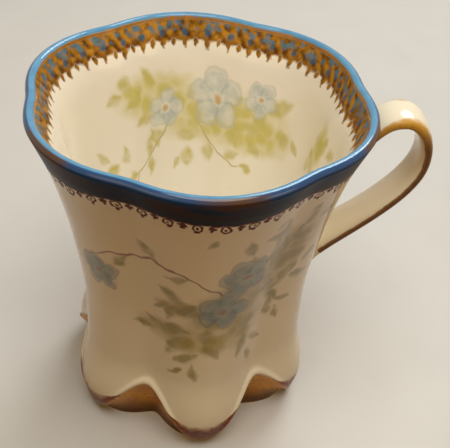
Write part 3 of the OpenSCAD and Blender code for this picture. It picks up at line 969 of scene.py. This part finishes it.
def brushed_gold(name, dark, light, rubbed):
    made, tree, place = material(name)
    fullness = on_surface(tree)["Y"]
    height = node(tree, "SeparateXYZ", place).node.outputs["Z"]
    brush = node(tree, "TexNoise", place, sockets={"Scale": 1 / 1.6, "Detail": 3.0})
    rub = node(tree, "TexNoise", place, sockets={"Scale": 1 / 4, "Detail": 2.0})
    ragged = node(tree, "Math", brush, 0.7, fullness, operation="MULTIPLY_ADD")
    cover = inside(tree, ragged, 0.85, 0.3)
    kept = inside(tree, ragged, 1.6, 0.9)
    # Painted shade in the coves: darker the further the gold runs in from its edge and the lower it lies
    cove_shade_depth = node(tree, "MapRange", fullness, 1.2, 4, 0.55, 0.85)
    low = inside(tree, height, shade_full_below, shade_gone_above)
    painted_cove_shade = node(tree, "Math", cove_shade_depth, low, operation="MULTIPLY")
    # Painted highlight: brighter, yellower gold on the top of the handle
    painted_highlight = inside(tree, height, highlight_full_above, highlight_gone_below, 0.8)
    full = node(tree, "Mix", rub, sockets={"A": dark, "B": light}, data_type="RGBA")
    gold = overpainted(tree, rubbed, [(kept, full), (painted_highlight, "#d8a030"), (painted_cove_shade, "#3a180a")])
    colour = overpainted(tree, porcelain_tone(tree, place), [(cover, gold)])
    # Less metallic under the painted shade
    bright = node(tree, "Math", kept, painted_cove_shade, operation="SUBTRACT", use_clamp=True)
    finish_with(tree, Base_Color=colour, Specular_IOR_Level=0.25,
                Metallic=node(tree, "Math", bright, 0.65, operation="MULTIPLY"),
                Roughness=node(tree, "MapRange", brush, 0.3, 0.7, 0.22, 0.42),
                Normal=node(tree, "Bump",
                            sockets={"Height": brush, "Strength": 0.08, "Distance": 0.08 * MM}))
    return made


# Pieces
def body_stretches(a):
    """Stretches of the body's section, with the number of their finish: outside, ground rim or inside."""
    return [
        (0, recess_path()[:-1]),
        (1, [(rim_in_r, 0), (on_cove(a, 1)[0] - sole_strip, 0)]),
        (0, foot_path(a)),
        (0, hem_path(a, gilt(a), bead_top, moulding_rows)),
        (0, wall_path(a, hem(a) + bead_top, ring_z, ankle_rows)),
        (0, wall_path(a, ring_z, border_z, wall_rows)),
        (0, wall_path(a, border_z, lip_z, brim_rows)),
        (2, lip_path(a)),
        (2, cavity_path(a, lip_z, corner_z, cavity_rows)),
        (2, [*floor_path(a), (0, floor_z)])]


def body_path(a):
    return [(r, z, z) for _, path in body_stretches(a) for r, z in path]


def rim_path(a):
    up = [(wall(a, band_z), band_z), *wall_path(a, band_z, lip_z, rim_rows)]
    over = lip_path(a) + cavity_path(a, lip_z, inner_band_z, rim_inside_rows)
    lip_start = lengths(up)[-1]
    return [(r, z, run - lip_start) for r, z, run in layer(up + over, free_start=False, free_end=False)]


def inner_border_path(a):
    down = cavity_path(a, inner_band_z, inner_border_z, inner_border_rows)
    return layer([(cavity(a, inner_band_z), inner_band_z), *down], free_start=False)


def outer_border_path(a):
    up = wall_path(a, border_z, band_z, border_rows)
    return layer([(wall(a, border_z), border_z), *up], free_end=False, fade=lace_feather)


def foot_gold_path(a):
    section = layer(foot_path(a)[1:], free_start=False)
    top = max(run for _, _, run in section)
    return [(r, z, (top - run) / gilt(a)) for r, z, run in section]


porcelain = plain_porcelain()
body_finish = [finish for finish, path in body_stretches(0) for _ in path]
rim_finish = [0 if row <= rim_rows else 1 for row in range(len(rim_path(0)))]
dress(round_cup("cup_porcelain", body_path, finish_of_row=body_finish), "cup_body", "glazed_porcelain",
      painted_porcelain("painted_porcelain_outside", outside_spray, shade_warmed_ivory), ground_biscuit(),
      painted_porcelain("painted_porcelain_inside", inside_spray, ivory_inside))
dress(make_strap(), "handle", "glazed_porcelain", porcelain)
dress(make_slip("upper_slip", upper_z, stations[0], lean_up, way=1), "upper_handle_joint", "fired_slip",
      porcelain)
dress(make_slip("lower_slip", lower_z, stations[-1], lean_down, way=-1), "lower_handle_joint", "fired_slip",
      porcelain)
dress(round_cup("rim_enamel", rim_path, section_loop=True, finish_of_row=rim_finish), "rim_enamel_band",
      "blue_enamel", rim_blue("rim_blue_band", roughness=0.35, shine=0.04),
      rim_blue("rim_blue_lip", roughness=0.08, shine=0.5))
dress(round_cup("inner_lace", inner_border_path, section_loop=True), "inner_gold_border", "printed_gold",
      inner_print())
dress(round_cup("outer_lace", outer_border_path, border_angles, whole_turn=False, section_loop=True),
      "outer_gold_border", "printed_gold", outer_print())
dress(round_cup("foot_gold", foot_gold_path, section_loop=True), "foot_gilding", "brushed_gilding",
      brushed_gold("foot_gold", dark="#a8660a", light="#eeac1e", rubbed="#7c3a18"))
# Painted shade: the handle's gold is much darker than the foot's, as gold mirroring dark surroundings
dress(joined(make_strap_gold("handle_gold", 0, 1), make_strap_gold("near_edge_gold", TURN / 2, -1)),
      "handle_gilding", "brushed_gilding",
      brushed_gold("handle_gold", dark="#2c1608", light="#643c12", rubbed="#84592a"))

# Camera: its place and aim, its roll, and its focal length and sensor in millimetres
camera_at = Vector((0.4, -125.9, 148.9)) * MM
camera_aim = Vector((6.57, 0, 43.25)) * MM
camera_roll = math.radians(4.93)
camera_lens = 61.04
camera_sensor = 36


def aimed(place, target):
    """Placement of a camera or a lamp that looks at a target."""
    return Matrix.Translation(place) @ (target - place).to_track_quat("-Z", "Y").to_matrix().to_4x4()


def set_camera():
    data = bpy.data.cameras.new("camera")
    data.lens = camera_lens
    data.sensor_width = camera_sensor
    data.clip_start = 10 * MM
    camera = placed("camera", data)
    camera.matrix_world = aimed(camera_at, camera_aim) @ Matrix.Rotation(camera_roll, 4, "Z")
    bpy.context.scene.camera = camera


# Surroundings: the colour that shows behind the cup, and a weak warm light from all sides
backdrop = "#d6d2ca"
fill = "#eac274"
fill_strength = 0.15


def seen_directly(tree):
    """1 for rays that show the surroundings or their mirror image, 0 for rays that only light the cup."""
    rays = node(tree, "LightPath").node.outputs
    mirrored = node(tree, "Math", rays["Is Glossy Ray"], rays["Is Transmission Ray"], operation="MAXIMUM")
    return node(tree, "Math", rays["Is Camera Ray"], mirrored, operation="MAXIMUM")


# Floor: a pale matt table top, slightly mottled so that it doesn't read as empty. It throws back a darker,
# warmer light than it shows, and between these distances, in millimetres, it fades into the backdrop.
bare_within, gone_beyond = 120, 700
floor_half = 2500


def table_top():
    made, tree, place = material("pale_table")
    mottle = node(tree, "TexNoise", place, sockets={"Scale": 1 / 20, "Detail": 4.0})
    tone = node(tree, "Mix", mottle, sockets={"A": "#d3d3d0", "B": "#dcdcd9"}, data_type="RGBA")
    seen = seen_directly(tree)
    distance = node(tree, "VectorMath", place, operation="LENGTH")
    away = inside(tree, distance, gone_beyond, bare_within)
    faded = node(tree, "Math", away, seen, operation="MULTIPLY")
    lit = overpainted(tree, "#6e4818", [(seen, tone), (faded, "#000000")])
    finish_with(tree, Base_Color=lit, Roughness=0.7, Specular_IOR_Level=0.2, Emission_Color=backdrop,
                Emission_Strength=faded)
    return made


def set_floor():
    bm = bmesh.new()
    bmesh.ops.create_grid(bm, x_segments=1, y_segments=1, size=floor_half * MM)
    mesh = bpy.data.meshes.new("table")
    bm.to_mesh(mesh)
    bm.free()
    mesh.materials.append(table_top())
    table = placed("table", mesh)


# Softboxes: place and size in metres, power in watts, and a colour, white above and behind, warm in front
softboxes = {
    "overhead_softbox": ((0.03, -0.12, 0.60), 0.45, 2.15, "#fffdfa"),
    "back_softbox": ((0.20, 0.38, 0.52), 0.30, 1.85, "#fffdfa"),
    "left_softbox": ((-0.32, -0.42, 0.32), 0.30, 0.32, "#ffd48c"),
    "right_softbox": ((0.55, -0.30, 0.30), 0.30, 0.45, "#ffdca4")}


def set_lights():
    target = Vector((0, 0, cup_h / 2)) * MM
    for name, (place, size, power, colour) in softboxes.items():
        data = bpy.data.lights.new(name, "AREA")
        data.shape = "DISK"
        data.size = size
        data.energy = power
        data.color = linear(colour)[:3]
        lamp = placed(name, data)
        lamp.matrix_world = aimed(Vector(place), target)


def set_world():
    world = bpy.data.worlds.new("studio")
    world.use_nodes = True
    tree = world.node_tree
    tree.nodes.clear()
    seen = seen_directly(tree)
    colour = node(tree, "Mix", seen, sockets={"A": fill, "B": backdrop}, data_type="RGBA")
    strength = node(tree, "MapRange", seen, 0, 1, fill_strength, 1)
    node(tree, "OutputWorld", node(tree, "Background", colour, strength))
    bpy.context.scene.world = world


set_camera()
set_floor()
set_lights()
set_world()
bpy.context.scene.view_settings.view_transform = "Standard"
